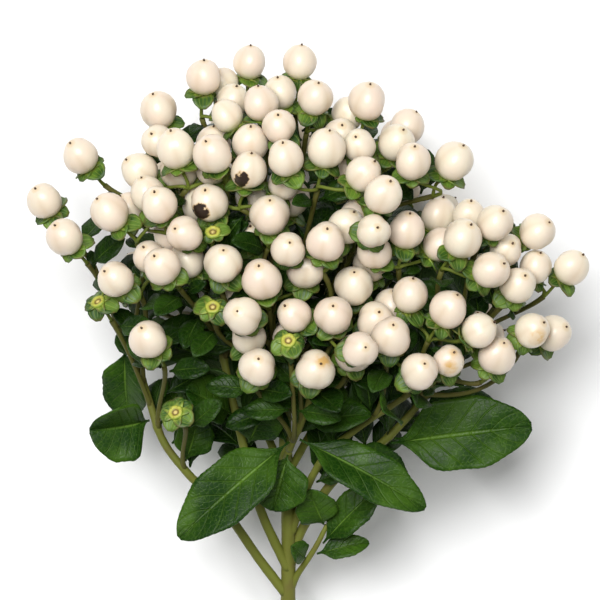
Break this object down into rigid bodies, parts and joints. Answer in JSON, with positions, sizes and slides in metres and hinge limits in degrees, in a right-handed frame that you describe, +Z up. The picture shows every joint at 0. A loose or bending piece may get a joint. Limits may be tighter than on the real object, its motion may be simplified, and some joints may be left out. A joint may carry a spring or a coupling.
{
  "type": "berry stem",
  "caption": "Cut stem of hypericum lying down: ivory berries on green calyces above dark oval leaves, on thin woody shoots.",
  "frame": {"origin": "middle of the stem's bounding box in X and Y, on the surface that it lies on", "axes": "+Y along the stem from its cut end to its berries, +X across the head, +Z up from the surface"},
  "size_m": [0.1861, 0.2734, 0.1053],
  "materials": {
    "stem": "green to brown bark, satin",
    "berry": "ivory berry skin, semi-gloss, with green sepals and stalks",
    "leaf": "dark green leaf, slight sheen"
  },
  "bodies": {
    "root": {"stem": "stem", "spray_left_arm": "berry", "spray_left_upper": "berry", "spray_top_left": "berry", "spray_crown": "berry", "spray_right_upper": "berry", "spray_right_arm": "berry", "spray_right_low": "berry", "spray_front_upper": "berry", "spray_front_lower": "berry", "spray_back_left": "berry", "spray_back_right": "berry", "spray_back_upper": "berry", "leaf_00": "leaf", "leaf_01": "leaf", "leaf_02": "leaf", "leaf_03": "leaf", "leaf_04": "leaf", "leaf_05": "leaf", "leaf_06": "leaf", "leaf_07": "leaf", "leaf_08": "leaf", "leaf_09": "leaf", "leaf_10": "leaf", "leaf_11": "leaf", "leaf_12": "leaf", "leaf_13": "leaf", "leaf_14": "leaf", "leaf_15": "leaf", "leaf_16": "leaf", "leaf_17": "leaf", "leaf_18": "leaf", "leaf_19": "leaf", "leaf_20": "leaf", "leaf_21": "leaf", "leaf_22": "leaf", "leaf_23": "leaf", "leaf_24": "leaf", "leaf_25": "leaf", "leaf_26": "leaf", "leaf_27": "leaf", "leaf_28": "leaf", "leaf_29": "leaf", "leaf_30": "leaf", "leaf_31": "leaf", "leaf_32": "leaf", "leaf_33": "leaf", "leaf_34": "leaf", "leaf_35": "leaf", "leaf_36": "leaf", "leaf_37": "leaf", "leaf_38": "leaf", "leaf_39": "leaf", "leaf_40": "leaf", "leaf_41": "leaf", "leaf_42": "leaf", "leaf_43": "leaf", "leaf_44": "leaf"}
  },
  "joints": []
}
